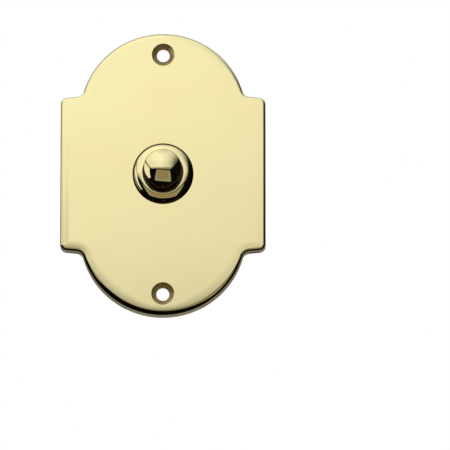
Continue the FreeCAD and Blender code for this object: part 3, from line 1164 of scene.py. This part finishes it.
def spin_piece(name, section, steps=160):
    """Turned piece from a section of (radius, out), spun round the Y axis."""
    piece = begin_piece(name)
    bpy.ops.mesh.primitive_plane_add(size=0.001)
    bpy.ops.mesh.merge(type="CENTER")
    mesh = bmesh.from_edit_mesh(piece.data)
    radius, out = section[0]
    mesh.verts.ensure_lookup_table()
    mesh.verts[0].co = place(radius, out, 0)
    bmesh.update_edit_mesh(piece.data)
    for before, after in zip(section, section[1:]):
        step = place(after[0], after[1], 0) - place(before[0], before[1], 0)
        bpy.ops.mesh.extrude_region_move(TRANSFORM_OT_translate={"value": step})
    bpy.ops.mesh.select_all(action="SELECT")
    bpy.ops.mesh.spin(steps=steps, angle=2 * math.pi, center=(0, 0, 0), axis=(0, 1, 0))
    return piece


# %% [markdown]
# The collar is low and round outside, from a narrow flat rim to a short foot on the plate. Its
# bore is narrower at the front, which stops the knob's flange, and its shank goes through the
# plate.

# %% Spin the collar
COLLAR_RADIUS = 8.92
COLLAR_RIM = 7.5
COLLAR_ROUNDING = 2.62
COLLAR_STOP = 5.7
MOUTH_RADIUS = 5.85
BORE_RADIUS = 6.4
SHANK_RADIUS = 7.5
SHANK_END = -1.2

collar_section = rounded_section(
    [
        (MOUTH_RADIUS, COLLAR_STOP, 0),
        (MOUTH_RADIUS, COLLAR_RIM, 0.2),
        (COLLAR_RADIUS, COLLAR_RIM, COLLAR_ROUNDING),
        (COLLAR_RADIUS, PLATE_FACE, 0.04),
        (SHANK_RADIUS, PLATE_FACE, 0),
        (SHANK_RADIUS, SHANK_END + 0.3, 0),
        (SHANK_RADIUS - 0.3, SHANK_END, 0),
        (BORE_RADIUS, SHANK_END, 0),
        (BORE_RADIUS, COLLAR_STOP, 0),
        (MOUTH_RADIUS, COLLAR_STOP, 0),
    ],
    step=3,
)
collar = spin_piece("collar_turning", collar_section)
finish_piece(collar, collar_brass)
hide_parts("collar")
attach(collar, "housing")

# %% [markdown]
# The knob has a straight side and a shallow dome, a part of a large ball. The rounding between
# them touches both, so its turn is worked out from the ball. Behind are the flange and the socket
# for the pusher. What lies inside the collar is tarnished and stays dark.

# %% Spin the knob
KNOB_RADIUS = 5.55
DOME_FOOT = 14.0
DOME_HEIGHT = 2.4
EDGE_ROUNDING = 0.7
FLANGE_RADIUS = 6.15
FLANGE_FRONT = 5.65
FLANGE_BACK = 4.45
SOCKET_RADIUS = 2.63
SOCKET_END = 7.3

ball = (KNOB_RADIUS**2 + DOME_HEIGHT**2) / (2 * DOME_HEIGHT)
ball_centre = DOME_FOOT + DOME_HEIGHT - ball
inner = KNOB_RADIUS - EDGE_ROUNDING
cap_turn = math.asin(inner / (ball - EDGE_ROUNDING))
edge_out = ball_centre + (ball - EDGE_ROUNDING) * math.cos(cap_turn)
knob_section = []
for step in range(49):
    turn = cap_turn * step / 48
    knob_section.append(Vector((ball * math.sin(turn), ball_centre + ball * math.cos(turn))))
for step in range(1, 13):
    turn = cap_turn + (math.pi / 2 - cap_turn) * step / 12
    knob_section.append(
        Vector((inner + EDGE_ROUNDING * math.sin(turn), edge_out + EDGE_ROUNDING * math.cos(turn)))
    )
knob_section += rounded_section(
    [
        (KNOB_RADIUS, edge_out - 0.1, 0),
        (KNOB_RADIUS, FLANGE_FRONT, 0),
        (FLANGE_RADIUS, FLANGE_FRONT, 0.1),
        (FLANGE_RADIUS, FLANGE_BACK, 0.1),
        (SOCKET_RADIUS, FLANGE_BACK, 0.1),
        (SOCKET_RADIUS, SOCKET_END, 0),
        (0, SOCKET_END, 0),
    ]
)
knob = spin_piece("knob_turning", knob_section, steps=192)
finish_piece(knob, knob_brass)
knob.data.materials.append(tarnished_brass)
for face in knob.data.polygons:
    face.material_index = 1 if -face.center.y / MM < COLLAR_STOP + 0.1 else 0
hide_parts("push_knob")
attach(knob, "button")


# %% [markdown]
# ## Spring and contact
#
# The spring is a wire circle that the Screw modifier winds round the Y axis. It is wound longer
# than needed and its ends are ground flat on the base and on the knob's flange by cutting them
# off.

# %% Wind the return spring
SPRING_RADIUS = 5.0
WIRE_RADIUS = 0.3
SPRING_SEAT = -0.4
SPRING_TURNS = 3.5

length = FLANGE_BACK - SPRING_SEAT
pitch = length / SPRING_TURNS
spring = begin_piece("coil_spring")
bpy.ops.mesh.primitive_circle_add(
    vertices=16,
    radius=WIRE_RADIUS * MM,
    location=place(SPRING_RADIUS, FLANGE_BACK + pitch / 2, 0),
)
bpy.ops.object.mode_set(mode="OBJECT")
winding = spring.modifiers.new("Winding", "SCREW")
winding.axis = "Y"
winding.screw_offset = pitch * MM
winding.iterations = 5
winding.steps = winding.render_steps = 40
winding.use_merge_vertices = False
bpy.ops.object.modifier_apply(modifier="Winding")
bpy.ops.object.mode_set(mode="EDIT")
for out, side in ((FLANGE_BACK, -1), (SPRING_SEAT, 1)):
    bpy.ops.mesh.select_all(action="SELECT")
    bpy.ops.mesh.bisect(
        plane_co=place(0, out, 0), plane_no=(0, side, 0), use_fill=True, clear_outer=True
    )
finish_piece(spring, spring_steel, angle=40)
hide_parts("return_spring")
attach(spring, "housing")
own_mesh(spring)

# %% [markdown]
# The leaf is a blank with its terminal hole, filled flat, cut across into short lengths so that it
# can bend, folded along its path and given its thickness by Solidify.

# %% Fold the moving contact
LEAF_WIDTH = 5.0
LEAF_THICKNESS = 0.3
LEAF_FOOT, LEAF_FOLD, LEAF_END = -14.0, -7.6, 4.4
LEAF_OUT = -5.2
LEAF_SET = 0.6
LEAF_SLOPE = math.atan2(LEAF_SET, -LEAF_FOLD)
LEAF_CORNER = 0.4
LEAF_STEP = 0.5
TERMINAL_PLACE = -11.0
TERMINAL_RADIUS = 1.7


def leaf_out(z):
    """Height of the leaf's front at a place along it."""
    return LEAF_OUT - max(z - LEAF_FOLD, 0) * math.tan(LEAF_SLOPE)


half = LEAF_WIDTH / 2 - LEAF_CORNER
low, high = LEAF_FOOT + LEAF_CORNER, LEAF_END - LEAF_CORNER
blank = []
for index, corner in enumerate(((half, low), (half, high), (-half, high), (-half, low))):
    blank += arc(corner, LEAF_CORNER, math.pi / 2 * (index - 1), math.pi / 2 * index, 5)
leaf = begin_piece("contact_leaf")
edge, _ = add_shell(leaf, [ring_of(blank, LEAF_OUT)])
hole, _ = add_shell(
    leaf, [circle_ring(TERMINAL_RADIUS, LEAF_OUT, z=TERMINAL_PLACE, count=40)]
)
fill_between(leaf, [edge, hole])
for step in range(25):
    bpy.ops.mesh.select_all(action="SELECT")
    cut = place(0, 0, LEAF_FOLD + LEAF_STEP * (step - 1))
    bpy.ops.mesh.bisect(plane_co=cut, plane_no=(0, 0, 1))
bpy.ops.object.mode_set(mode="OBJECT")
for corner in leaf.data.vertices:
    corner.co.y = -leaf_out(corner.co.z / MM) * MM
if leaf.data.polygons[0].normal.y > 0:
    leaf.data.flip_normals()
strip = leaf.modifiers.new("Strip", "SOLIDIFY")
strip.thickness = LEAF_THICKNESS * MM
strip.offset = -1
bpy.ops.object.modifier_apply(modifier="Strip")
softened = leaf.modifiers.new("Softened", "BEVEL")
softened.width = 0.04 * MM
softened.segments = 2
softened.limit_method = "ANGLE"
softened.angle_limit = math.radians(60)
bpy.ops.object.modifier_apply(modifier="Softened")
finish_piece(leaf, spring_bronze)
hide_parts("moving_contact")

# %% [markdown]
# The silver contact is a low button with a rounded edge and an almost flat end, riveted square to
# the sloping leaf. It is made at the origin, tilted by the leaf's slope and moved to its place.

# %% Set the silver contact on the leaf
CONTACT_PLACE = 3.0
CONTACT_RADIUS = 1.1
CONTACT_HEIGHT = 0.5
CONTACT_ROUNDING = 0.3

side = CONTACT_HEIGHT - CONTACT_ROUNDING
section = [(0.0005, 0), (CONTACT_RADIUS, 0), (CONTACT_RADIUS, side)]
for step in range(1, 7):
    turn = math.pi / 2 * step / 6
    radius = CONTACT_RADIUS - CONTACT_ROUNDING * (1 - math.cos(turn))
    section.append((radius, side + CONTACT_ROUNDING * math.sin(turn)))
section += [(0.4, CONTACT_HEIGHT + 0.01), (0.0005, CONTACT_HEIGHT + 0.015)]
tip = begin_piece("silver_contact")
add_shell(
    tip,
    [circle_ring(radius, -LEAF_THICKNESS - depth, count=48) for radius, depth in section],
)
bpy.ops.mesh.select_all(action="SELECT")
bpy.ops.transform.rotate(value=LEAF_SLOPE, orient_axis="X", center_override=(0, 0, 0))
bpy.ops.transform.translate(value=place(0, leaf_out(CONTACT_PLACE), CONTACT_PLACE))
finish_piece(tip, silver)
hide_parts("moving_contact_tip")
for bent in (leaf, tip):
    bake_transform(bent)
print("leaf slopes by", round(math.degrees(LEAF_SLOPE), 2), "degrees")
